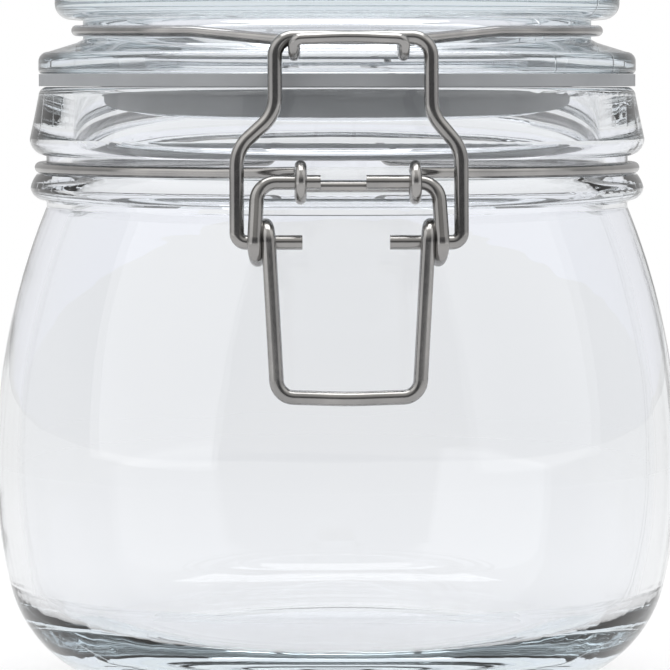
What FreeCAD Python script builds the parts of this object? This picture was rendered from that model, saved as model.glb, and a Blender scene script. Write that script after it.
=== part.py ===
import FreeCAD, Part
import math
import os
import Sketcher

# Clip-top glass storage jar. Millimetres, +Z up, origin on the jar's axis at the standing plane,
# latch at the front (-Y), hinge at the back (+Y).

V = FreeCAD.Vector
doc = FreeCAD.newDocument("StorageJar")

# ---------------------------------------------------------------- driving sizes
DRIVING = {
    # jar body
    "belly_radius": 50.0,
    "belly_height": 32.0,
    "heel_bend": 18.7,
    "heel_angle": 13.0,
    "punt_height": 2.2,
    "foot_width": 2.4,
    "wall": 3.2,
    "floor_height": 8.0,
    # neck
    "rim_height": 87.1,
    "neck_depth": 17.5,
    "neck_step": 7.5,
    "neck_wall": 3.5,
    "rim_step": 1.1,
    "rim_bend": 1.3,
    "collar_step": 2.4,
    "collar_depth": 7.5,
    "collar_bend": 2.5,
    "collar_foot_depth": 10.0,
    "foot_step": 0.5,
    "bead_step": 2.3,
    "bead_depth": 14.6,
    "bead_foot_drop": 2.1,
    "bead_foot_rise": 0.3,
    "bead_low_bend": 1.9,
    "bead_top_bend": 4.2,
    "bead_top_rise": 1.9,
    "bead_top_step": 0.9,
    "ledge": 0.1,
    # lid
    "lid_rise": 16.9,
    "lid_disc_step": 1.3,
    "lid_disc_bend": 2.3,
    "lid_top_bend": 3.0,
    "lid_flange_rise": 1.9,
    "lid_flange_depth": 4.5,
    "lid_brow_bend": 1.4,
    "lid_brow_drop": 1.3,
    "lid_lip_bend": 0.7,
    "lid_lip_step": 0.5,
    "lid_neck_step": 4.1,
    "lid_shoulder_step": 0.9,
    "lid_neck_rise": 0.5,
    "lid_neck_taper": 0.15,
    "plug_play": 0.8,
    "lid_plug_depth": 4.5,
    "lid_plug_wall": 4.7,
    "lid_plug_bend": 1.0,
    "lid_draft": 0.7,
    "lid_roof": 7.0,
    "lid_roof_bend": 3.0,
    # gasket
    "gasket_fit": 0.1,
    "gasket_step": 0.05,
    "gasket_play": 0.15,
    # wires
    "thin_wire": 1.6,
    "thick_wire": 2.0,
    "pin_play": 0.3,
    "ring_play": 0.4,
    "eye_play": 0.25,
    "wire_seat": 0.1,
    "lid_wire_rise": 6.3,
    "lid_wire_slope": 0.0145,
    "arch_rise": 0.3,
    # lever pivot in the neck wire's front rings
    "ring_gap": 0.35,
    "ring_drop": 1.1,
    "ring_half": 7.75,
    "ring_shift": 1.15,
    # bail pivot in the lever's coils
    "bail_tuck": 0.15,
    "bail_drop": 8.1,
    "coil_half": 12.8,
    "coil_gap": 0.15,
    "arm_step": 0.6,
    "arm_bend": 2.6,
    "lever_shift": -0.2,
    "handle_drop": 20.7,
    "handle_half": 9.6,
    "handle_gap": 0.73,
    "handle_bend": 2.4,
    "left_stub_end": -3.9,
    "right_stub_end": 2.3,
    # bail crossbar in the lid wire's hooks
    "crossbar_gap": 0.1,
    "crossbar_rise": 0.35,
    "crossbar_half": 10.6,
    "crossbar_shift": 0.6,
    "crossbar_bend": 2.6,
    "leg_gap": 0.4,
    "bail_foot_bend": 1.3,
    "bail_knee_low": 12.6,
    "bail_knee_high": 17.4,
    "bail_knee_bend": 5.0,
    "left_tail_end": -6.35,
    "right_tail_end": 5.5,
    "hook_half": 7.4,
    "hook_slack": 0.7,
    "hook_rise": 0.1,
    "hook_play": 0.2,
    # rear hinge
    "hinge_tuck": 0.75,
    "hinge_drop": 3.6,
    "eye_half": 9.0,
    "hinge_half": 12.5,
    "hinge_bend": 1.5,
    "post_step": 0.4,
    "post_bend": 1.8,
    "front_bend": 12.0,
    "tail_end": 6.2,
}

# ---------------------------------------------------------------- sizes that follow from them
FOLLOWING = {
    "thin_radius": "=thin_wire / 2",
    "thick_radius": "=thick_wire / 2",
    # jar body
    "neck_radius": "=belly_radius - neck_step",
    "mouth_radius": "=neck_radius - neck_wall",
    "shoulder_height": "=rim_height - neck_depth",
    "shoulder_bend": "=((shoulder_height - belly_height)^2 + neck_step^2) / (2 * neck_step)",
    "belly_bend": "=(belly_height - heel_bend * (1 - sin(heel_angle * 1 deg))) / sin(heel_angle * 1 deg)",
    "heel_top_radius": "=belly_radius - belly_bend * (1 - cos(heel_angle * 1 deg))",
    "heel_top_height": "=heel_bend * (1 - sin(heel_angle * 1 deg))",
    "foot_radius": "=heel_top_radius - heel_bend * cos(heel_angle * 1 deg)",
    "foot_inner_radius": "=foot_radius - foot_width",
    "punt_bend": "=(foot_inner_radius^2 + punt_height^2) / (2 * punt_height)",
    "cavity_radius": "=belly_radius - wall",
    "cavity_shoulder_bend": "=shoulder_bend - wall",
    "cavity_top_height": "=belly_height + sqrt(cavity_shoulder_bend^2"
                         " - (cavity_shoulder_bend - cavity_radius + mouth_radius)^2)",
    "cavity_belly_bend": "=belly_bend - wall",
    "cavity_heel_radius": "=cavity_radius - cavity_belly_bend * (1 - cos(heel_angle * 1 deg))",
    "cavity_heel_height": "=belly_height - cavity_belly_bend * sin(heel_angle * 1 deg)",
    "cavity_heel_bend": "=(cavity_heel_height - floor_height) / (1 - sin(heel_angle * 1 deg))",
    "floor_radius": "=cavity_heel_radius - cavity_heel_bend * cos(heel_angle * 1 deg)",
    "cut_height": "=rim_height + 5",
    # neck
    "bead_radius": "=neck_radius + bead_step",
    "bead_height": "=rim_height - bead_depth",
    "bead_foot_height": "=bead_height - bead_foot_drop",
    "bead_foot_radius": "=neck_radius + foot_step",
    "bead_low_height": "=bead_foot_height + bead_foot_rise",
    "bead_top_radius": "=bead_radius - bead_top_step",
    "bead_top_height": "=bead_height + bead_top_rise",
    "ledge_height": "=bead_top_height + ledge",
    "neck_wire_height": "=ledge_height + wire_seat + thin_radius",
    "neck_wire_radius": "=neck_radius + wire_seat + thin_radius",
    "collar_radius": "=neck_radius + collar_step",
    "collar_foot_height": "=rim_height - collar_foot_depth",
    "collar_height": "=rim_height - collar_depth",
    "rim_radius": "=neck_radius + rim_step",
    "rim_side_height": "=rim_height - rim_bend",
    "rim_flat_radius": "=rim_radius - rim_bend",
    "rim_inner_radius": "=mouth_radius + rim_bend",
    # lid
    "lid_height": "=rim_height + lid_rise",
    "lid_disc_radius": "=neck_radius - lid_disc_step",
    "lid_flange_radius": "=neck_radius + rim_step",
    "lid_flange_height": "=rim_height + lid_flange_rise",
    "lid_wire_height": "=lid_flange_height + lid_wire_rise",
    "lid_disc_height": "=lid_wire_height + thin_wire",
    "lid_top_radius": "=lid_disc_radius - lid_top_bend",
    "lid_top_side_height": "=lid_height - lid_top_bend",
    "lid_disc_side_height": "=lid_disc_height + lid_disc_bend",
    "lid_disc_foot_radius": "=lid_disc_radius - lid_disc_bend",
    "lid_neck_radius": "=lid_disc_radius - lid_neck_step",
    "lid_wire_radius": "=lid_neck_radius + wire_seat + thin_radius",
    "lid_shoulder_radius": "=lid_neck_radius + lid_shoulder_step",
    "lid_shoulder_height": "=lid_flange_height + lid_flange_depth",
    "lid_neck_height": "=lid_shoulder_height + lid_neck_rise",
    "lid_neck_top": "=lid_disc_height - lid_neck_taper",
    "lid_brow_radius": "=lid_flange_radius - lid_brow_bend",
    "lid_brow_height": "=lid_shoulder_height - lid_brow_drop",
    "lid_side_height": "=lid_brow_height - lid_brow_bend",
    "lid_lip_radius": "=lid_flange_radius - lid_lip_step",
    "lid_lip_height": "=lid_flange_height + lid_lip_bend",
    "lid_plug_radius": "=mouth_radius - plug_play",
    "lid_plug_height": "=lid_flange_height - lid_plug_depth",
    "lid_plug_side_height": "=lid_plug_height + lid_plug_bend",
    "lid_plug_foot_radius": "=lid_plug_radius - lid_plug_bend",
    "lid_hollow_radius": "=lid_plug_radius - lid_plug_wall",
    "lid_hollow_side_radius": "=lid_hollow_radius + lid_draft",
    "lid_hollow_foot_radius": "=lid_hollow_side_radius + lid_plug_bend",
    "lid_roof_height": "=lid_height - lid_roof",
    "lid_roof_side_height": "=lid_roof_height - lid_roof_bend",
    "lid_roof_radius": "=lid_hollow_radius - lid_roof_bend",
    # gasket
    "gasket_radius": "=lid_flange_radius - gasket_step",
    "gasket_inner_radius": "=lid_plug_radius + gasket_play",
    "gasket_height": "=rim_height + gasket_fit",
    "gasket_depth": "=lid_flange_height - gasket_height",
    # latch
    "ring_bend": "=thick_radius + ring_play + thin_radius",
    "coil_bend": "=thick_radius + pin_play + thick_radius",
    "lever_reach": "=bead_radius + thin_wire + thick_radius + ring_gap",
    "lever_height": "=neck_wire_height - ring_drop",
    "bail_reach": "=lever_reach - bail_tuck",
    "bail_height": "=lever_height - bail_drop",
    "bail_half": "=coil_half + thick_wire + leg_gap",
    "handle_height": "=bail_height - handle_drop",
    "handle_reach": "=belly_radius - shoulder_bend + sqrt(shoulder_bend^2"
                    " - (handle_height - belly_height)^2) + thick_radius + handle_gap",
    "crossbar_reach": "=lid_flange_radius + thick_radius + crossbar_gap",
    "crossbar_height": "=lid_shoulder_height + crossbar_rise",
    "hook_bend": "=thick_radius + thin_radius + hook_slack",
    "hook_reach": "=crossbar_reach - thick_radius - thin_radius - hook_play + hook_bend",
    "hook_height": "=crossbar_height + hook_rise",
    # rear hinge
    "eye_bend": "=thin_radius + eye_play + thin_radius",
    "hinge_reach": "=collar_radius + eye_bend + thin_radius - hinge_tuck",
    "hinge_height": "=rim_height - hinge_drop",
    "post_reach": "=lid_flange_radius + post_step",
}

sheet = doc.addObject("Spreadsheet::Sheet", "Sizes")
for row, (alias, number) in enumerate(list(DRIVING.items()) + list(FOLLOWING.items()), start=1):
    sheet.set("A%d" % row, alias)
    sheet.set("B%d" % row, str(number))
    sheet.setAlias("B%d" % row, alias)
doc.recompute()


def size(alias):
    """One size from the sheet, as a plain number."""
    return float(sheet.get(alias))


# ---------------------------------------------------------------- turned pieces
def origin_plane(body, role):
    """One of the body's own origin planes."""
    return next(f for f in body.Origin.OriginFeatures if f.Role == role)


def bend_between(start, end, radius, side):
    """Arc from start to end whose centre lies on the left (side 1) or right (side -1) of the way."""
    chord = end - start
    middle = (start + end) * 0.5
    rise = math.sqrt(max(radius * radius - (chord.Length / 2) ** 2, 0.0))
    across = V(-chord.y, chord.x, 0).normalize()
    centre = middle + across * rise * side
    first, last = (start, end) if side > 0 else (end, start)
    first_angle = math.atan2(first.y - centre.y, first.x - centre.x)
    last_angle = math.atan2(last.y - centre.y, last.x - centre.x)
    return Part.ArcOfCircle(Part.Circle(centre, V(0, 0, 1), radius), first_angle, last_angle)


def section(body, name, corners, bends):
    """Closed sketch in the XZ plane. Each corner is a pair of size names (radius, height), None for
    zero. bends maps the number of a corner to (size name, side) where an arc leaves that corner."""
    sketch = body.newObject("Sketcher::SketchObject", name)
    sketch.AttachmentSupport = (origin_plane(body, "XZ_Plane"), "")
    sketch.MapMode = "FlatFace"
    points = [V(size(r) if r else 0, size(z) if z else 0, 0) for r, z in corners]
    ends = []
    for i, start in enumerate(points):
        end = points[(i + 1) % len(points)]
        if i in bends:
            bend_name, side = bends[i]
            edge = sketch.addGeometry(bend_between(start, end, size(bend_name), side), False)
            ends.append((edge, 1, 2) if side > 0 else (edge, 2, 1))
        else:
            edge = sketch.addGeometry(Part.LineSegment(start, end), False)
            ends.append((edge, 1, 2))
    for i, (edge, first, last) in enumerate(ends):
        following_edge, following_first, _ = ends[(i + 1) % len(ends)]
        sketch.addConstraint(Sketcher.Constraint("Coincident", edge, last, following_edge, following_first))
    for i, (edge, first, last) in enumerate(ends):
        for kind, alias, axis, number in (
            ("DistanceX", corners[i][0], -2, points[i].x),
            ("DistanceY", corners[i][1], -1, points[i].y),
        ):
            if alias is None:
                sketch.addConstraint(Sketcher.Constraint("PointOnObject", edge, first, axis))
            else:
                at = sketch.addConstraint(Sketcher.Constraint(kind, edge, first, number))
                sketch.renameConstraint(at, "%s_%d" % (kind, i))
                sketch.setExpression("Constraints.%s_%d" % (kind, i), "Sizes.%s" % alias)
        if i in bends:
            at = sketch.addConstraint(Sketcher.Constraint("Radius", edge, size(bends[i][0])))
            sketch.renameConstraint(at, "Bend_%d" % i)
            sketch.setExpression("Constraints.Bend_%d" % i, "Sizes.%s" % bends[i][0])
    doc.recompute()
    return sketch


def turned(body, sketch, kind):
    """The sketch turned once about the vertical axis, added to the body or cut from it."""
    feature = body.newObject(kind, sketch.Name + "Turn")
    feature.Profile = sketch
    feature.ReferenceAxis = (sketch, ["V_Axis"])
    feature.Angle = 360
    sketch.Visibility = False
    doc.recompute()
    return feature


jar = doc.addObject("PartDesign::Body", "JarGlass")
jar.Label = "jar_glass"
outer = section(
    jar,
    "JarOutside",
    [
        (None, "punt_height"),
        ("foot_inner_radius", None),
        ("foot_radius", None),
        ("heel_top_radius", "heel_top_height"),
        ("belly_radius", "belly_height"),
        ("neck_radius", "shoulder_height"),
        ("neck_radius", "bead_foot_height"),
        ("bead_foot_radius", "bead_low_height"),
        ("bead_radius", "bead_height"),
        ("bead_top_radius", "bead_top_height"),
        ("neck_radius", "ledge_height"),
        ("neck_radius", "collar_foot_height"),
        ("collar_radius", "collar_height"),
        ("rim_radius", "rim_side_height"),
        ("rim_flat_radius", "rim_height"),
        (None, "rim_height"),
    ],
    {
        0: ("punt_bend", -1),
        2: ("heel_bend", 1),
        3: ("belly_bend", 1),
        4: ("shoulder_bend", 1),
        7: ("bead_low_bend", 1),
        8: ("bead_top_bend", 1),
        11: ("collar_bend", 1),
        13: ("rim_bend", 1),
    },
)
jar_solid = turned(jar, outer, "PartDesign::Revolution")
solid_volume = jar_solid.Shape.Volume
cavity = section(
    jar,
    "JarInside",
    [
        (None, "floor_height"),
        ("floor_radius", "floor_height"),
        ("cavity_heel_radius", "cavity_heel_height"),
        ("cavity_radius", "belly_height"),
        ("mouth_radius", "cavity_top_height"),
        ("mouth_radius", "rim_side_height"),
        ("rim_inner_radius", "rim_height"),
        ("rim_inner_radius", "cut_height"),
        (None, "cut_height"),
    ],
    {
        1: ("cavity_heel_bend", 1),
        2: ("cavity_belly_bend", 1),
        3: ("cavity_shoulder_bend", 1),
        5: ("rim_bend", -1),
    },
)
jar_hollow = turned(jar, cavity, "PartDesign::Groove")
if jar_hollow.Shape.Volume > 0.5 * solid_volume:
    raise RuntimeError("the jar's inside was not cut")

lid = doc.addObject("PartDesign::Body", "LidGlass")
lid.Label = "lid_glass"
lid_section = section(
    lid,
    "LidSection",
    [
        (None, "lid_roof_height"),
        ("lid_roof_radius", "lid_roof_height"),
        ("lid_hollow_radius", "lid_roof_side_height"),
        ("lid_hollow_side_radius", "lid_plug_side_height"),
        ("lid_hollow_foot_radius", "lid_plug_height"),
        ("lid_plug_foot_radius", "lid_plug_height"),
        ("lid_plug_radius", "lid_plug_side_height"),
        ("lid_plug_radius", "lid_flange_height"),
        ("lid_lip_radius", "lid_flange_height"),
        ("lid_flange_radius", "lid_lip_height"),
        ("lid_flange_radius", "lid_side_height"),
        ("lid_brow_radius", "lid_brow_height"),
        ("lid_shoulder_radius", "lid_shoulder_height"),
        ("lid_neck_radius", "lid_neck_height"),
        ("lid_neck_radius", "lid_neck_top"),
        ("lid_disc_foot_radius", "lid_disc_height"),
        ("lid_disc_radius", "lid_disc_side_height"),
        ("lid_disc_radius", "lid_top_side_height"),
        ("lid_top_radius", "lid_height"),
        (None, "lid_height"),
    ],
    {
        1: ("lid_roof_bend", -1),
        3: ("lid_plug_bend", 1),
        5: ("lid_plug_bend", 1),
        8: ("lid_lip_bend", 1),
        10: ("lid_brow_bend", 1),
        15: ("lid_disc_bend", 1),
        17: ("lid_top_bend", 1),
    },
)
turned(lid, lid_section, "PartDesign::Revolution")

gasket = doc.addObject("PartDesign::Body", "Gasket")
gasket.Label = "gasket"
ring_sketch = gasket.newObject("Sketcher::SketchObject", "GasketRing")
ring_sketch.AttachmentSupport = (origin_plane(gasket, "XY_Plane"), "")
ring_sketch.MapMode = "FlatFace"
ring_sketch.setExpression(".AttachmentOffset.Base.z", "Sizes.gasket_height")
for number, alias in enumerate(("gasket_radius", "gasket_inner_radius")):
    ring_sketch.addGeometry(Part.Circle(V(0, 0, 0), V(0, 0, 1), size(alias)), False)
    ring_sketch.addConstraint(Sketcher.Constraint("Coincident", number, 3, -1, 1))
    at = ring_sketch.addConstraint(Sketcher.Constraint("Radius", number, size(alias)))
    ring_sketch.renameConstraint(at, "Ring_%d" % number)
    ring_sketch.setExpression("Constraints.Ring_%d" % number, "Sizes.%s" % alias)
doc.recompute()
gasket_pad = gasket.newObject("PartDesign::Pad", "GasketPad")
gasket_pad.Profile = ring_sketch
gasket_pad.setExpression("Length", "Sizes.gasket_depth")
ring_sketch.Visibility = False
doc.recompute()


# ---------------------------------------------------------------- bent wires
# A wire's way is a list of corners (point, bend radius) and of arcs (first, middle, last point).
def bent_run(corners):
    """Straight runs joined by tangent arcs, through a list of corners."""
    points = [point for point, _ in corners]
    bends = [bend for _, bend in corners]
    edges = []
    at = points[0]
    for i in range(1, len(points) - 1):
        ahead = points[i] - points[i - 1]
        away = points[i + 1] - points[i]
        room = min(
            run.Length * (0.47 if 0 < other < len(points) - 1 else 0.94)
            for run, other in ((ahead, i - 1), (away, i + 1))
        )
        ahead.normalize()
        away.normalize()
        half_turn = ahead.getAngle(away) / 2
        cut = min(bends[i] * math.tan(half_turn), room)
        bend = cut / math.tan(half_turn)
        start = points[i] - ahead * cut
        end = points[i] + away * cut
        inward = (away - ahead).normalize()
        middle = points[i] + inward * (bend / math.cos(half_turn) - bend)
        edges.append(Part.LineSegment(at, start).toShape())
        edges.append(Part.Arc(start, middle, end).toShape())
        at = end
    edges.append(Part.LineSegment(at, points[-1]).toShape())
    return edges


def bent_path(way):
    """The wire's centre line: runs and bends through the corners, and the arcs between them."""
    edges = []
    run = []
    for item in way:
        if len(item) == 2:
            run.append(item)
            continue
        first, middle, last = item
        if run:
            edges += bent_run(run + [(first, 0)])
        edges.append(Part.Arc(first, middle, last).toShape())
        run = [(last, 0)]
    if len(run) > 1:
        edges += bent_run(run)
    return Part.Wire(edges)


def mirrored(way):
    """The same way on the other side of the jar, run backwards."""
    return [
        tuple(V(-part.x, part.y, part.z) if isinstance(part, FreeCAD.Vector) else part for part in order)
        for order in ((item if len(item) == 2 else item[::-1]) for item in reversed(way))
    ]


def on_ring(x, reach, height, radius, angle):
    """Point on a circle in a plane across X. Angles in degrees, 0 towards +Y, 90 towards +Z."""
    turn = math.radians(angle)
    return V(x, reach + radius * math.cos(turn), height + radius * math.sin(turn))


def ring_arc(x, reach, height, radius, angle_from, angle_to):
    """Arc in a plane across X."""
    angles = (angle_from, (angle_from + angle_to) / 2, angle_to)
    return tuple(on_ring(x, reach, height, radius, angle) for angle in angles)


def ring_lead(arc, x, reach, height, at_start, length):
    """Corner in line with the start or the end of a ring arc, this far from it."""
    end = arc[0] if at_start else arc[2]
    across = end - V(x, reach, height)
    along = V(1, 0, 0).cross(across).normalize()
    if along.dot(arc[1] - end) * (1 if at_start else -1) < 0:
        along = along * -1
    return end - along * length if at_start else end + along * length


def touch_angle(reach, height, radius, point, side):
    """Angle at which a straight run from the point touches a circle in a plane across X. The side is
    1 or -1, with or against the turn."""
    bearing = math.atan2(point.z - height, point.y - reach)
    away = math.acos(radius / math.hypot(point.y - reach, point.z - height))
    return math.degrees(bearing + side * away) % 360


def coil(reach, height, radius, x_from, x_to, angle_from, angle_to, steps):
    """Corners of a coil about an axis along X, just outside its circle so that the bends meet on it."""
    turn = (angle_to - angle_from) / steps
    outside = radius / math.cos(math.radians(turn / 2))
    corners = []
    for i in range(steps):
        share = (i + 0.5) / steps
        x = x_from + (x_to - x_from) * share
        corners.append((on_ring(x, reach, height, outside, angle_from + turn * (i + 0.5)), radius))
    return corners


def groove_arc(radius, height, slope, back, front):
    """Arc round the jar's axis on the +X side, from where a straight run comes from the point back
    (x, y) to where a straight run leaves for the point front. Its plane rises towards the back."""
    tilt = math.atan(slope)

    def on_circle(angle):
        y = radius * math.sin(angle)
        return V(radius * math.cos(angle), y * math.cos(tilt), height + y * math.sin(tilt))

    first = math.atan2(back[1], back[0]) - math.acos(radius / math.hypot(*back))
    last = math.atan2(front[1], front[0]) + math.acos(radius / math.hypot(*front))
    return on_circle(first), on_circle((first + last) / 2), on_circle(last)


def run_in(arc, x):
    """Corner at x on the straight run that comes to the start of an arc."""
    curve = Part.Arc(*arc)
    along = curve.tangent(curve.FirstParameter)[0]
    return arc[0] - along * ((arc[0].x - x) / along.x)


def run_out(arc, length):
    """Corner this far along the straight run that leaves the end of an arc."""
    curve = Part.Arc(*arc)
    return arc[2] + curve.tangent(curve.LastParameter)[0] * length


def wire_piece(label, way, radius_name):
    """A round wire swept along its way."""
    path = doc.addObject("Part::Feature", label + "_path")
    path.Shape = bent_path(way)
    path.Visibility = False
    ring = doc.addObject("Part::Circle", label + "_round")
    ring.setExpression("Radius", "Sizes.%s" % radius_name)
    start = path.Shape.OrderedVertexes[0].Point
    first = path.Shape.OrderedEdges[0]
    starts_here = (first.valueAt(first.FirstParameter) - start).Length < 1e-6
    direction = first.tangentAt(first.FirstParameter if starts_here else first.LastParameter)
    ring.Placement = FreeCAD.Placement(start, FreeCAD.Rotation(V(0, 0, 1), direction))
    ring.Visibility = False
    sweep = doc.addObject("Part::Sweep", label)
    sweep.Sections = [ring]
    sweep.Spine = (path, [])
    sweep.Solid = True
    sweep.Frenet = False
    sweep.Label = label
    doc.recompute()
    return sweep


hinge_reach = size("hinge_reach")
hinge_height = size("hinge_height")
lever_reach = -size("lever_reach")
lever_height = size("lever_height")
bail_reach = -size("bail_reach")
bail_height = size("bail_height")
crossbar_reach = -size("crossbar_reach")
crossbar_height = size("crossbar_height")


# Neck wire: rear eye, post, round the groove, front ring, bridge, and the same on the other side.
def neck_side(ring_x):
    """Right half of the neck wire, from the end of its rear eye to the front bridge."""
    height = size("neck_wire_height")
    eye_x = size("eye_half")
    eye_bend = size("eye_bend")
    ring_bend = size("ring_bend")
    lead = 1.3 * size("thin_radius")
    eye = ring_arc(eye_x, hinge_reach, hinge_height, eye_bend, -100, 180)
    post_reach = hinge_reach - eye_bend
    ring = ring_arc(ring_x, lever_reach, lever_height, ring_bend, 57, 320)
    ring_in = ring_lead(ring, ring_x, lever_reach, lever_height, True, lead)
    ring_out = ring_lead(ring, ring_x, lever_reach, lever_height, False, lead)
    front = (ring_in.x, ring_in.y)
    groove = groove_arc(size("neck_wire_radius"), height, 0, (eye_x, post_reach), front)
    return [
        eye,
        (run_in(groove, eye_x), size("post_bend")),
        groove,
        (run_out(groove, 3), size("front_bend")),
        (ring_in, lead),
        ring,
        (ring_out, lead),
    ]


neck_right = neck_side(size("ring_half") + size("ring_shift"))
neck_left = neck_side(size("ring_half") - size("ring_shift"))
neck_wire = wire_piece("neck_wire", neck_right + mirrored(neck_left), "thin_radius")


# Lid wire: hinge tail, post, round the lid's groove, hook under the crossbar, bridge, and the same
# on the other side.
def lid_side():
    """Right half of the lid wire, from the end of its hinge tail to the front bridge."""
    height = size("lid_wire_height")
    slope = size("lid_wire_slope")
    hinge_x = size("hinge_half")
    hook_x = size("hook_half")
    hook_bend = size("hook_bend")
    lead = 1.3 * size("thin_radius")
    post_reach = size("post_reach")
    hook_reach = -size("hook_reach")
    hook_height = size("hook_height")
    hook = ring_arc(hook_x, hook_reach, hook_height, hook_bend, -35, -150)
    hook_in = ring_lead(hook, hook_x, hook_reach, hook_height, True, lead)
    hook_out = ring_lead(hook, hook_x, hook_reach, hook_height, False, lead)
    front = (hook_in.x, hook_in.y)
    groove = groove_arc(size("lid_wire_radius"), height, slope, (hinge_x, post_reach), front)
    return [
        (V(size("tail_end"), hinge_reach, hinge_height), 0),
        (V(hinge_x, hinge_reach, hinge_height), size("hinge_bend")),
        (run_in(groove, hinge_x), size("post_bend")),
        groove,
        (run_out(groove, 3), size("front_bend")),
        (hook_in, lead),
        hook,
        (hook_out, lead),
    ]


lid_right = lid_side()
bridge = lid_right[-1][0]
arch = [(V(0, bridge.y, bridge.z + size("arch_rise")), 60)]
lid_wire = wire_piece("lid_wire", lid_right + arch + mirrored(lid_right), "thin_radius")


# Lever: stub in the front ring, arm, coil for the bail, leg, handle bar, and the same on the other side.
def lever_side(stub_end, shift):
    """Right half of the lever, from the end of its stub to the corner of the handle."""
    coil_x = size("coil_half") + shift
    pitch = size("thick_wire") + size("coil_gap")
    coil_bend = size("coil_bend")
    arm = V(coil_x - size("arm_step"), lever_reach, lever_height)
    handle = V(size("handle_half") + shift, -size("handle_reach"), size("handle_height"))
    first = touch_angle(bail_reach, bail_height, coil_bend, arm, 1)
    last = touch_angle(bail_reach, bail_height, coil_bend, handle, -1) + 360
    way = [(V(stub_end, lever_reach, lever_height), 0), (arm, size("arm_bend"))]
    way += coil(bail_reach, bail_height, coil_bend, coil_x, coil_x - pitch, first, last, 8)
    way.append((handle, size("handle_bend")))
    return way


shift = size("lever_shift")
lever_right = lever_side(size("right_stub_end"), shift)
lever_left = lever_side(-size("left_stub_end"), -shift)
corner = lever_right[-1][0]
bow = [(V(shift, corner.y, corner.z - size("arch_rise")), 60)]
lever = wire_piece("lever", lever_right + bow + mirrored(lever_left), "thick_radius")


# Bail: tail in the lever's coil, leg, knee, crossbar, and the same on the other side.
def bail_side(tail_end, crossbar_x):
    """Right half of the bail, from the end of its tail to the corner of the crossbar."""
    foot = V(size("bail_half"), bail_reach, bail_height)
    lean = V(0, crossbar_reach - bail_reach, crossbar_height - bail_height).normalize()
    low_knee = foot + lean * size("bail_knee_low")
    high_knee = foot + lean * size("bail_knee_high")
    high_knee.x = crossbar_x
    return [
        (V(tail_end, bail_reach, bail_height), 0),
        (foot, size("bail_foot_bend")),
        (low_knee, size("bail_knee_bend")),
        (high_knee, size("bail_knee_bend")),
        (V(crossbar_x, crossbar_reach, crossbar_height), size("crossbar_bend")),
    ]


crossbar_half = size("crossbar_half")
crossbar_shift = size("crossbar_shift")
bail_right = bail_side(size("right_tail_end"), crossbar_half + crossbar_shift)
bail_left = bail_side(-size("left_tail_end"), crossbar_half - crossbar_shift)
bail = wire_piece("bail", bail_right + mirrored(bail_left), "thick_radius")

# ---------------------------------------------------------------- checks and export
doc.recompute()
for item in doc.Objects:
    if "Invalid" in item.State or "Error" in item.State:
        raise RuntimeError("%s is in error: %s" % (item.Name, item.State))
os.makedirs("parts", exist_ok=True)
for piece in (jar, lid, gasket, neck_wire, lid_wire, lever, bail):
    shape = piece.Shape
    if shape.isNull() or not shape.isValid() or len(shape.Solids) != 1:
        raise RuntimeError("%s is not one valid solid" % piece.Label)
    shape.exportStep("parts/%s.step" % piece.Label)
    print("%-10s %9.1f mm3  %s" % (piece.Label, shape.Volume, shape.BoundBox))
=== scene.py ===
import math

import bmesh
import bpy
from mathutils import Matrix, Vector


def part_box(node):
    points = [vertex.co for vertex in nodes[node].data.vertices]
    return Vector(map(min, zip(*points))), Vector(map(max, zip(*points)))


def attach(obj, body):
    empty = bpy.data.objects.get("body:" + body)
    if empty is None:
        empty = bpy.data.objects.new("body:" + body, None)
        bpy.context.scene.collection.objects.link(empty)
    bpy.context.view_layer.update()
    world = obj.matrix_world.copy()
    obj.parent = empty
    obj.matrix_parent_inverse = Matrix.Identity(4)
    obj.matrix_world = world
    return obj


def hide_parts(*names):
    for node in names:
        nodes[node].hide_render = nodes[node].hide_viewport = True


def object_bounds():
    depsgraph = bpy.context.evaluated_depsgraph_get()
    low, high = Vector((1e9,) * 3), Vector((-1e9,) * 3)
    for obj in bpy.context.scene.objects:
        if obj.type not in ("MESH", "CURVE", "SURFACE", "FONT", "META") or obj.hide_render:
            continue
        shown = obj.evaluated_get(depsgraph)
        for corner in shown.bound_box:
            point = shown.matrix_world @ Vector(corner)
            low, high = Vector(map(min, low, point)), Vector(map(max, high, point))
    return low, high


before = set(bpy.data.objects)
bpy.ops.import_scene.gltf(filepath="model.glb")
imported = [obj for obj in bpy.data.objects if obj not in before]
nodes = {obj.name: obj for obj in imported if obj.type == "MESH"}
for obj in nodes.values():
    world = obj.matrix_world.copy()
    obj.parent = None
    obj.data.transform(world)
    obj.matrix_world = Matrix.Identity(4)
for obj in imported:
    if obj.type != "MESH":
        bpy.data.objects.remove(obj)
cad_low, cad_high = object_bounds()

_, lid_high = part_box("lid_glass")
gasket_low, gasket_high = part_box("gasket")
lid_height = lid_high[2]


# ---------------------------------------------------------------- node helpers
# the range that most values of a noise texture fall in
NOISE_LOW, NOISE_HIGH = 0.3, 0.7
# places of a colour mix node's sockets; their names repeat for each kind of data
MIX_FACTOR, MIX_FIRST, MIX_SECOND, MIX_RESULT = 0, 6, 7, 2


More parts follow.
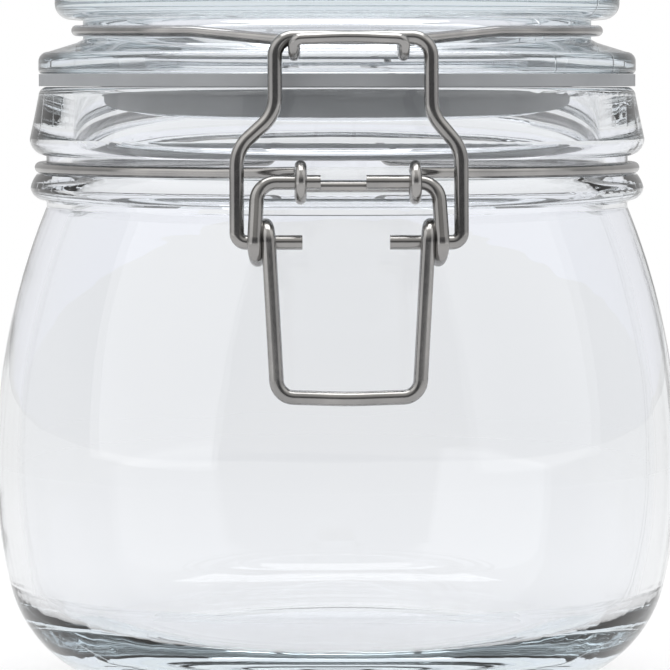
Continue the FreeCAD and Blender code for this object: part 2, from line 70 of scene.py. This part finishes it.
class Graph:
    """A short way to write a material's or the world's node tree."""

    def __init__(self, tree):
        self.tree = tree
        tree.nodes.clear()

    def node(self, kind, settings=None, **inputs):
        """New node. An input goes by its name, with _ for a space, or by its place, as i0 or i1."""
        made = self.tree.nodes.new(kind)
        for name, value in (settings or {}).items():
            setattr(made, name, value)
        for name, value in inputs.items():
            by_place = name[0] == "i" and name[1:].isdigit()
            key = int(name[1:]) if by_place else name.replace("_", " ")
            self.feed(made.inputs[key], value)
        return made

    def feed(self, socket, value):
        """Link an output to the socket, or set a constant on it."""
        if isinstance(value, bpy.types.NodeSocket):
            self.tree.links.new(value, socket)
        else:
            socket.default_value = value

    def maths(self, operation, first, second=0.0, third=0.0):
        settings = {"operation": operation}
        made = self.node("ShaderNodeMath", settings, i0=first, i1=second, i2=third)
        return made.outputs[0]

    def noise(self, vector, scale, detail=2.0, roughness=0.5):
        made = self.node(
            "ShaderNodeTexNoise",
            Vector=vector, Scale=scale, Detail=detail, Roughness=roughness,
        )
        return made.outputs[0]

    def shade(self, noise, dark, light):
        """Colour that runs from dark to light with a noise."""
        made = self.node("ShaderNodeValToRGB", i0=noise)
        stops = ((NOISE_LOW, dark), (NOISE_HIGH, light))
        for element, (place, colour) in zip(made.color_ramp.elements, stops):
            element.position = place
            element.color = (*colour, 1.0)
        return made.outputs["Color"]

    def ease(self, value, start, end, low=0.0, high=1.0):
        """Smooth step from low, where the value is at start, to high, where it is at end."""
        made = self.node(
            "ShaderNodeMapRange", {"interpolation_type": "SMOOTHSTEP"},
            Value=value, From_Min=start, From_Max=end, To_Min=low, To_Max=high,
        )
        return made.outputs[0]

    def blend(self, factor, first, second):
        made = self.node("ShaderNodeMix", {"data_type": "RGBA"})
        self.feed(made.inputs[MIX_FACTOR], factor)
        self.feed(made.inputs[MIX_FIRST], first)
        self.feed(made.inputs[MIX_SECOND], second)
        return made.outputs[MIX_RESULT]

    def own_place(self):
        """Position in the object's own space, in metres."""
        return self.node("ShaderNodeTexCoord").outputs["Object"]


def new_material(name):
    material = bpy.data.materials.new(name)
    material.use_nodes = True
    return material, Graph(material.node_tree)


def finish_material(graph, shader, volume=None):
    output = graph.node("ShaderNodeOutputMaterial")
    graph.tree.links.new(shader.outputs[0], output.inputs["Surface"])
    if volume is not None:
        graph.tree.links.new(volume.outputs[0], output.inputs["Volume"])


# ---------------------------------------------------------------- materials
GLASS_IOR = 1.5
CLEAR_DARK, CLEAR_LIGHT = (0.965, 0.972, 0.985), (0.98, 0.985, 0.995)
THICK_TINT = (0.72, 0.83, 0.87, 1.0)
THICK_DENSITY = 8.0
STREAK_STRETCH = (0.16, 0.16, 1.0)
STREAK_SCALE = 150.0
STREAK_SHARE = 0.35
SWELL_SCALE = 38.0
RIPPLE_DEPTH = 0.0004
SEAM_HALF_ANGLE = 0.006

STEEL_GRAIN_SCALE = 1400.0
STEEL_CLOUD_SCALE = 180.0
STEEL_SMOOTH, STEEL_ROUGH = 0.15, 0.21
STEEL_BUMP, STEEL_BUMP_DEPTH = 0.04, 0.00003

RUBBER_DARK, RUBBER_LIGHT = (0.31, 0.32, 0.33), (0.35, 0.36, 0.37)
RUBBER_CLOUD_SCALE = 90.0
RUBBER_GRAIN_SCALE = 900.0
RUBBER_BUMP_SCALE = 1500.0
RUBBER_SMOOTH, RUBBER_ROUGH = 0.42, 0.62
RUBBER_BUMP, RUBBER_BUMP_DEPTH = 0.15, 0.00005
RUBBER_CLEARNESS = 0.1


def glass(name, ripple, seam_degrees, seam_height):
    """Pressed clear glass: faintly rippled faces, mould seams, and a cool tint in thick places."""
    material, g = new_material(name)
    place = g.own_place()
    # the angle round the vertical axis: 0 at the back, rising towards +X
    x, y, _ = g.node("ShaderNodeSeparateXYZ", Vector=place).outputs
    angle = g.maths("ARCTAN2", x, y)
    # ripples that run round the piece: long across, short up and down
    streak_place = g.node("ShaderNodeMapping", Vector=place, Scale=STREAK_STRETCH).outputs[0]
    streaks = g.noise(streak_place, STREAK_SCALE, 1.0, 0.45)
    swell = g.noise(place, SWELL_SCALE, 1.0, 0.4)
    height = g.maths("ADD", g.maths("MULTIPLY", streaks, STREAK_SHARE), swell)
    for degrees in seam_degrees:
        away = g.maths("ABSOLUTE", g.maths("SUBTRACT", angle, math.radians(degrees)))
        ridge = g.ease(away, 0.0, SEAM_HALF_ANGLE, low=seam_height, high=0.0)
        height = g.maths("ADD", height, ridge)
    bump = g.node("ShaderNodeBump", Strength=ripple, Distance=RIPPLE_DEPTH, Height=height)
    shader = g.node(
        "ShaderNodeBsdfPrincipled",
        Base_Color=g.shade(swell, CLEAR_DARK, CLEAR_LIGHT),
        Roughness=0.0, IOR=GLASS_IOR, Normal=bump.outputs[0],
    )
    shader.inputs["Transmission Weight"].default_value = 1.0
    depth = g.node("ShaderNodeVolumeAbsorption", Color=THICK_TINT, Density=THICK_DENSITY)
    finish_material(g, shader, depth)
    return material


def drawn_steel(name, dark, light):
    """Bright drawn wire with fine scuffs."""
    material, g = new_material(name)
    place = g.own_place()
    grain = g.noise(place, STEEL_GRAIN_SCALE)
    rough = g.node(
        "ShaderNodeMapRange", Value=grain, From_Min=NOISE_LOW, From_Max=NOISE_HIGH,
        To_Min=STEEL_SMOOTH, To_Max=STEEL_ROUGH,
    )
    bump = g.node("ShaderNodeBump", Strength=STEEL_BUMP, Distance=STEEL_BUMP_DEPTH, Height=grain)
    shader = g.node(
        "ShaderNodeBsdfPrincipled",
        Base_Color=g.shade(g.noise(place, STEEL_CLOUD_SCALE), dark, light),
        Metallic=1.0, Roughness=rough.outputs[0], Normal=bump.outputs[0],
    )
    finish_material(g, shader)
    return material


def silicone(name):
    """Matte, slightly cloudy pale rubber."""
    material, g = new_material(name)
    place = g.own_place()
    rough = g.node(
        "ShaderNodeMapRange", Value=g.noise(place, RUBBER_GRAIN_SCALE),
        To_Min=RUBBER_SMOOTH, To_Max=RUBBER_ROUGH,
    )
    bump = g.node(
        "ShaderNodeBump", Strength=RUBBER_BUMP, Distance=RUBBER_BUMP_DEPTH,
        Height=g.noise(place, RUBBER_BUMP_SCALE),
    )
    shader = g.node(
        "ShaderNodeBsdfPrincipled",
        Base_Color=g.shade(g.noise(place, RUBBER_CLOUD_SCALE, 3.0, 0.6), RUBBER_DARK, RUBBER_LIGHT),
        Roughness=rough.outputs[0], Normal=bump.outputs[0],
    )
    shader.inputs["Transmission Weight"].default_value = RUBBER_CLEARNESS
    finish_material(g, shader)
    return material


jar_material = glass("jar_clear_glass", ripple=0.35, seam_degrees=(90, -90), seam_height=0.25)
lid_material = glass("lid_clear_glass", ripple=0.45, seam_degrees=(118, -62), seam_height=0.5)
wire_material = drawn_steel("wire_steel", (0.34, 0.335, 0.33), (0.42, 0.41, 0.40))
latch_material = drawn_steel("latch_steel", (0.32, 0.315, 0.31), (0.40, 0.39, 0.38))
gasket_material = silicone("pale_silicone")

FINISHES = {
    "jar_glass": jar_material,
    "neck_wire": wire_material,
    "lid_wire": wire_material,
    "lever": latch_material,
    "bail": latch_material,
}
for node_name, finish in FINISHES.items():
    cad_mesh = nodes[node_name].data
    cad_mesh.materials.clear()
    cad_mesh.materials.append(finish)


# ---------------------------------------------------------------- lid and gasket
# The photo's second grey band is read as a sleeve of the gasket, seen through the collar. A sleeve
# needs a narrower plug than the solid lid has, so two pieces stand for the solids: the outside
# follows theirs, while the plug and the sleeve are new. The size of both is judged.
MM = 0.001
AROUND = 224
ARC_STEPS = 7
SHARP_ANGLE = math.radians(28)

gasket_radius = gasket_high[0]
gasket_foot = gasket_low[2]
sleeve_outside = 34.4 * MM
sleeve_inside = 33.0 * MM
sleeve_foot = gasket_foot - 5.1 * MM

flange_radius = lid_high[0]
flange_height = gasket_high[2]
flange_bend_across = 0.5 * MM
flange_bend_up = 0.7 * MM
# the two pieces share no plane: the gasket's top keeps a little away from the flange
gasket_top = flange_height - 0.05 * MM

plug_radius = 32.9 * MM
plug_foot = sleeve_foot - 0.8 * MM
plug_bend = 1.0 * MM
hollow_radius = plug_radius - 4.7 * MM
roof_height = lid_height - 7.0 * MM
roof_bend = 3.0 * MM

shoulder_height = flange_height + 4.5 * MM
brow_height = shoulder_height - 1.3 * MM
brow_bend = 1.4 * MM
disc_radius = flange_radius - 2.4 * MM
disc_height = flange_height + 7.9 * MM
disc_bend = 2.3 * MM
disc_undercut = 0.15 * MM
top_bend = 3.0 * MM
neck_radius = disc_radius - 4.1 * MM
neck_slope_across = 0.9 * MM
neck_slope_up = 0.5 * MM


def quarter(first, last, corner):
    """Rounded corner of a section: the quarter arc from the first point to the last."""
    middle = [first[i] + last[i] - corner[i] for i in (0, 1)]
    points = []
    for step in range(ARC_STEPS + 1):
        bend = math.pi / 2 * step / ARC_STEPS
        points.append(tuple(
            middle[i]
            + (first[i] - middle[i]) * math.cos(bend)
            + (last[i] - middle[i]) * math.sin(bend)
            for i in (0, 1)
        ))
    return points


def turned(name, section, material, node):
    """Closed piece turned round the vertical axis from points (radius, height)."""
    shape = bmesh.new()
    angles = [2 * math.pi * i / AROUND for i in range(AROUND)]
    rings = []
    for radius, height in section:
        if radius == 0.0:
            rings.append([shape.verts.new((0.0, 0.0, height))])
            continue
        rings.append([
            shape.verts.new((radius * math.cos(angle), radius * math.sin(angle), height))
            for angle in angles
        ])
    closed = len(rings[0]) > 1
    pairs = list(zip(rings, rings[1:])) + ([(rings[-1], rings[0])] if closed else [])
    for ring, next_ring in pairs:
        for i in range(AROUND):
            j = (i + 1) % AROUND
            if len(ring) == 1:
                shape.faces.new((ring[0], next_ring[i], next_ring[j]))
            elif len(next_ring) == 1:
                shape.faces.new((ring[i], next_ring[0], ring[j]))
            else:
                shape.faces.new((ring[i], next_ring[i], next_ring[j], ring[j]))
    bmesh.ops.recalc_face_normals(shape, faces=shape.faces)
    for face in shape.faces:
        face.smooth = True
    mesh = bpy.data.meshes.new(name)
    shape.to_mesh(mesh)
    shape.free()
    mesh.set_sharp_from_angle(angle=SHARP_ANGLE)
    mesh.materials.append(material)
    piece = bpy.data.objects.new(name, mesh)
    bpy.context.scene.collection.objects.link(piece)
    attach(piece, "lid")
    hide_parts(node)


lid_section = [
    (0.0, roof_height),
    *quarter(
        (hollow_radius - roof_bend, roof_height),
        (hollow_radius, roof_height - roof_bend),
        (hollow_radius, roof_height),
    ),
    *quarter(
        (hollow_radius, plug_foot + plug_bend),
        (hollow_radius + plug_bend, plug_foot),
        (hollow_radius, plug_foot),
    ),
    *quarter(
        (plug_radius - plug_bend, plug_foot),
        (plug_radius, plug_foot + plug_bend),
        (plug_radius, plug_foot),
    ),
    (plug_radius, flange_height),
    *quarter(
        (flange_radius - flange_bend_across, flange_height),
        (flange_radius, flange_height + flange_bend_up),
        (flange_radius, flange_height),
    ),
    *quarter(
        (flange_radius, brow_height - brow_bend),
        (flange_radius - brow_bend, brow_height),
        (flange_radius, brow_height),
    ),
    (neck_radius + neck_slope_across, shoulder_height),
    (neck_radius, shoulder_height + neck_slope_up),
    (neck_radius, disc_height - disc_undercut),
    *quarter(
        (disc_radius - disc_bend, disc_height),
        (disc_radius, disc_height + disc_bend),
        (disc_radius, disc_height),
    ),
    *quarter(
        (disc_radius, lid_height - top_bend),
        (disc_radius - top_bend, lid_height),
        (disc_radius, lid_height),
    ),
    (0.0, lid_height),
]
gasket_section = [
    (sleeve_inside, sleeve_foot),
    (sleeve_outside, sleeve_foot),
    (sleeve_outside, gasket_foot),
    (gasket_radius, gasket_foot),
    (gasket_radius, gasket_top),
    (sleeve_inside, gasket_top),
]
turned("lid_with_narrow_plug", lid_section, lid_material, "lid_glass")
turned("gasket_with_sleeve", gasket_section, gasket_material, "gasket")


# ---------------------------------------------------------------- studio
WHITE = (1.0, 1.0, 1.0, 1.0)

FLOOR_SIZE = 6.0
FLOOR_GAP = 0.0004
FLOOR_DARK, FLOOR_LIGHT = (0.88, 0.88, 0.89), (0.90, 0.90, 0.91)
FLOOR_CLOUD_SCALE = 3.0
FLOOR_GLOW = 0.92
FLOOR_GLOW_MORE_TO_CAMERA = 0.08
FLOOR_GLOW_MORE_IN_MIRRORS = -0.06
# the share of the floor's look that is its own glow, under the jar and far off
GLOW_NEAR_SHARE, GLOW_FAR_SHARE = 0.80, 1.0
GLOW_NEAR, GLOW_FAR = 0.07, 0.5


def floor_material():
    """White table: mostly its own glow where it is seen, and all of it far off.

    With that no horizon shows.
    """
    material, g = new_material("studio_floor")
    place = g.own_place()
    colour = g.shade(g.noise(place, FLOOR_CLOUD_SCALE, 0.0), FLOOR_DARK, FLOOR_LIGHT)
    matt = g.node("ShaderNodeBsdfDiffuse", Color=colour)
    path = g.node("ShaderNodeLightPath").outputs
    is_camera, is_mirror = path["Is Camera Ray"], path["Is Glossy Ray"]
    strength = g.maths("MULTIPLY_ADD", is_camera, FLOOR_GLOW_MORE_TO_CAMERA, FLOOR_GLOW)
    strength = g.maths("MULTIPLY_ADD", is_mirror, FLOOR_GLOW_MORE_IN_MIRRORS, strength)
    glow = g.node("ShaderNodeEmission", Color=WHITE, Strength=strength)
    seen = g.maths("MAXIMUM", is_camera, path["Is Transmission Ray"])
    seen = g.maths("MAXIMUM", seen, is_mirror)
    far = g.node("ShaderNodeVectorMath", {"operation": "LENGTH"}, i0=place).outputs["Value"]
    fade = g.ease(far, GLOW_NEAR, GLOW_FAR, GLOW_NEAR_SHARE, GLOW_FAR_SHARE)
    mix = g.node("ShaderNodeMixShader", i0=g.maths("MULTIPLY", seen, fade))
    g.tree.links.new(matt.outputs[0], mix.inputs[1])
    g.tree.links.new(glow.outputs[0], mix.inputs[2])
    finish_material(g, mix)
    return material


bpy.ops.mesh.primitive_plane_add(size=FLOOR_SIZE, location=(0, 0, cad_low[2] - FLOOR_GAP))
floor = bpy.context.object
floor.name = "studio_floor"
floor.data.materials.append(floor_material())

# the world, as each kind of ray meets it
THROUGH_FRONT, THROUGH_BEHIND = (0.50, 0.52, 0.56, 1.0), (0.90, 0.905, 0.94, 1.0)
MIRROR_FRONT_LOW, MIRROR_FRONT_HIGH = (0.16, 0.16, 0.165, 1.0), (0.06, 0.06, 0.065, 1.0)
MIRROR_BEHIND = (0.55, 0.55, 0.55, 1.0)
MIRROR_OVERHEAD = (0.75, 0.74, 0.72, 1.0)
AFTER_MATT = (1.5, 1.5, 1.5, 1.0)
ALL_ELSE = (0.62, 0.62, 0.63, 1.0)

world = bpy.data.worlds.new("studio")
bpy.context.scene.world = world
world.use_nodes = True
w = Graph(world.node_tree)
direction = w.node("ShaderNodeTexCoord").outputs["Generated"]
_, toward_y, toward_z = w.node("ShaderNodeSeparateXYZ", Vector=direction).outputs
behind = w.ease(toward_y, -0.6, 0.7)
overhead = w.ease(toward_z, 0.15, 0.8)
upward = w.ease(toward_z, -0.02, 0.35)
mirror = w.blend(upward, MIRROR_FRONT_LOW, MIRROR_FRONT_HIGH)
mirror = w.blend(behind, mirror, MIRROR_BEHIND)
mirror = w.blend(overhead, mirror, MIRROR_OVERHEAD)
path = w.node("ShaderNodeLightPath").outputs
# a ray that has bounced off a matt face and then goes through glass meets a lighter world; it is
# meant to lift the rubber behind the glass, which it does only a little
after_matt = w.maths("MINIMUM", path["Diffuse Depth"], 1.0)
through = w.blend(behind, THROUGH_FRONT, THROUGH_BEHIND)
through = w.blend(after_matt, through, AFTER_MATT)
seen = w.blend(path["Is Glossy Ray"], ALL_ELSE, mirror)
seen = w.blend(path["Is Transmission Ray"], seen, through)
seen = w.blend(path["Is Camera Ray"], seen, WHITE)
background = w.node("ShaderNodeBackground", Color=seen, Strength=1.0)
w.node("ShaderNodeOutputWorld", Surface=background.outputs[0])

# name, place, width, height, watts
LAMPS = (
    ("top_box", (0.0, 0.05, 0.75), 0.7, 0.7, 4.5),
    ("left_box", (-0.80, -0.35, 0.40), 0.9, 1.2, 2.4),
    ("right_box", (0.80, -0.30, 0.40), 0.9, 1.2, 1.6),
)
LAMP_AIM = Vector((0.0, 0.0, 0.06))


def softbox(name, place, width, height, watts):
    lamp = bpy.data.lights.new(name, "AREA")
    lamp.shape = "RECTANGLE"
    lamp.size = width
    lamp.size_y = height
    lamp.energy = watts
    holder = bpy.data.objects.new(name, lamp)
    bpy.context.scene.collection.objects.link(holder)
    holder.location = place
    holder.rotation_mode = "QUATERNION"
    holder.rotation_quaternion = (LAMP_AIM - Vector(place)).to_track_quat("-Z", "Y")


for lamp_row in LAMPS:
    softbox(*lamp_row)

# ---------------------------------------------------------------- camera
LENS = 219.8
SENSOR_WIDTH = 36.0
CAMERA_DISTANCE = 0.600
CAMERA_TURN = math.radians(2.0)
EYE_HEIGHT = 0.088
CAMERA_AIM = Vector((-0.0003, 0.0, 0.0507))
NEAREST, FARTHEST = 0.01, 20.0

camera_data = bpy.data.cameras.new("camera")
camera = bpy.data.objects.new("camera", camera_data)
bpy.context.scene.collection.objects.link(camera)
camera_data.sensor_width = SENSOR_WIDTH
camera_data.lens = LENS
camera_data.clip_start = NEAREST
camera_data.clip_end = FARTHEST
camera.location = (
    -CAMERA_DISTANCE * math.sin(CAMERA_TURN),
    -CAMERA_DISTANCE * math.cos(CAMERA_TURN),
    EYE_HEIGHT,
)
camera.rotation_mode = "QUATERNION"
camera.rotation_quaternion = (CAMERA_AIM - camera.location).to_track_quat("-Z", "Y")
bpy.context.scene.camera = camera
bpy.context.scene.view_settings.view_transform = "Standard"
# with lower limits the base turned black; all three were raised at once, so which one matters
# is not known
bpy.context.scene.cycles.max_bounces = 18
bpy.context.scene.cycles.glossy_bounces = 14
bpy.context.scene.cycles.transmission_bounces = 18
